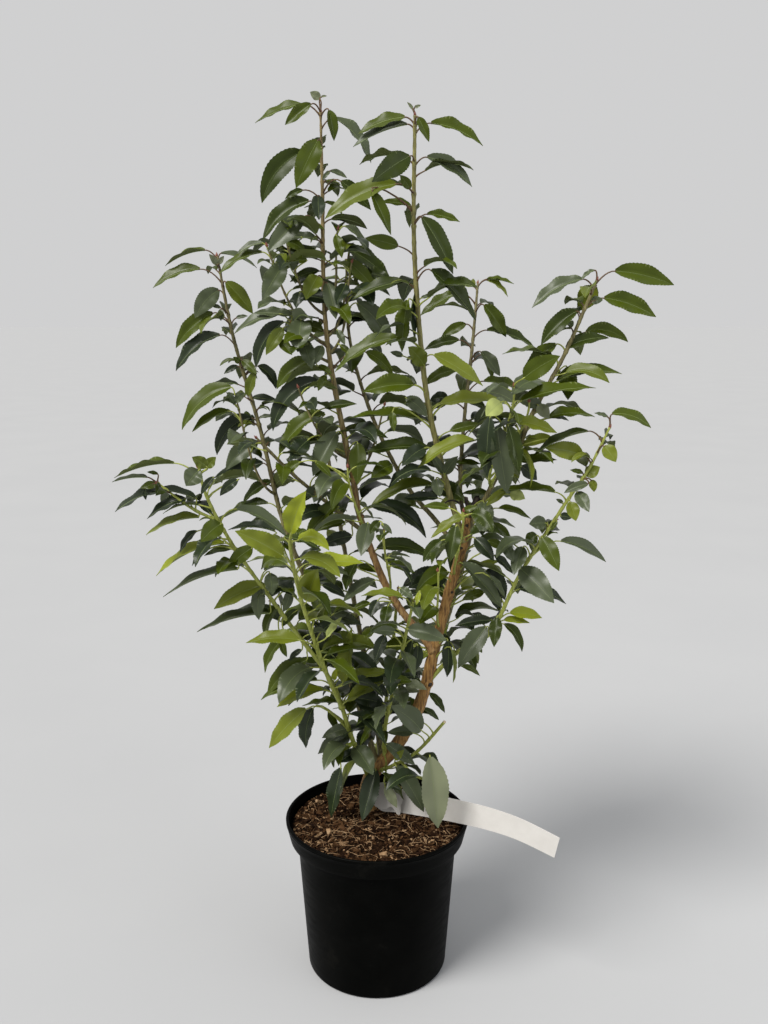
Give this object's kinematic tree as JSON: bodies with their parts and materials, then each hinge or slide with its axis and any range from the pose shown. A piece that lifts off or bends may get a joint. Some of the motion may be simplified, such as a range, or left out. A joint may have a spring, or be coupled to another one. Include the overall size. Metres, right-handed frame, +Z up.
{
  "type": "potted portugal laurel",
  "caption": "Young Portugal laurel, an evergreen shrub with several upright leafy shoots from a short forked trunk, in a round black nursery pot with a blank loop label.",
  "frame": {"origin": "middle of the pot's flat underside", "axes": "+Z up along the pot's axis, +X to the viewer's right in the picture, -Y towards the viewer"},
  "size_m": [0.5196, 0.3453, 0.898],
  "materials": {
    "pot_plastic": "matt black, faintly scuffed",
    "potting_mix": "coarse brown peat and bark",
    "label_white": "blank white plastic, satin",
    "brown_bark": "orange-brown bark",
    "green_shoot": "smooth yellow-green young bark",
    "laurel_leaves": "leathery, half glossy, deep green"
  },
  "bodies": {
    "root": {"back_left_bough": "brown_bark", "back_left_leaves": "laurel_leaves", "back_left_top_leaves": "laurel_leaves", "foot_left_leaves": "laurel_leaves", "foot_right_leaves": "laurel_leaves", "front_left_bough": "green_shoot", "front_left_leaves": "laurel_leaves", "front_left_top_leaves": "laurel_leaves", "front_twig": "green_shoot", "heart_leaves": "laurel_leaves", "label": "label_white", "left_inner_bough": "green_shoot", "left_inner_leaves": "laurel_leaves", "left_leader_inner_leaves": "laurel_leaves", "left_leader_low_leaves": "laurel_leaves", "left_leader_outer_leaves": "laurel_leaves", "left_leader_top_leaves": "laurel_leaves", "left_main_stem": "brown_bark", "left_side_bough": "brown_bark", "left_side_low_leaves": "laurel_leaves", "left_side_middle_leaves": "laurel_leaves", "left_side_top_leaves": "laurel_leaves", "low_right_bough": "green_shoot", "middle_front_leaves": "laurel_leaves", "outer_left_bough": "green_shoot", "outer_left_leaves": "laurel_leaves", "outer_left_low_leaves": "laurel_leaves", "outer_left_side_bough": "green_shoot", "outer_left_tip_leaves": "laurel_leaves", "pot": "pot_plastic", "pruned_twig": "green_shoot", "rear_left_bough": "green_shoot", "rear_left_leaves": "laurel_leaves", "rear_low_bough": "green_shoot", "rear_low_leaves": "laurel_leaves", "rear_right_bough": "green_shoot", "rear_right_leaves": "laurel_leaves", "right_bough": "green_shoot", "right_inner_leaves": "laurel_leaves", "right_low_leaves": "laurel_leaves", "right_main_stem": "brown_bark", "right_middle_leaves": "laurel_leaves", "right_outer_leaves": "laurel_leaves", "right_top_leaves": "laurel_leaves", "soil": "potting_mix", "soil_left_leaves": "laurel_leaves", "soil_right_leaves": "laurel_leaves", "stub_bough": "green_shoot", "stub_bough_leaves": "laurel_leaves", "stub_bough_top_leaves": "laurel_leaves", "tall_right_bough": "green_shoot", "tall_right_middle_leaves": "laurel_leaves", "tall_right_top_leaves": "laurel_leaves", "trunk": "brown_bark"}
  },
  "joints": []
}
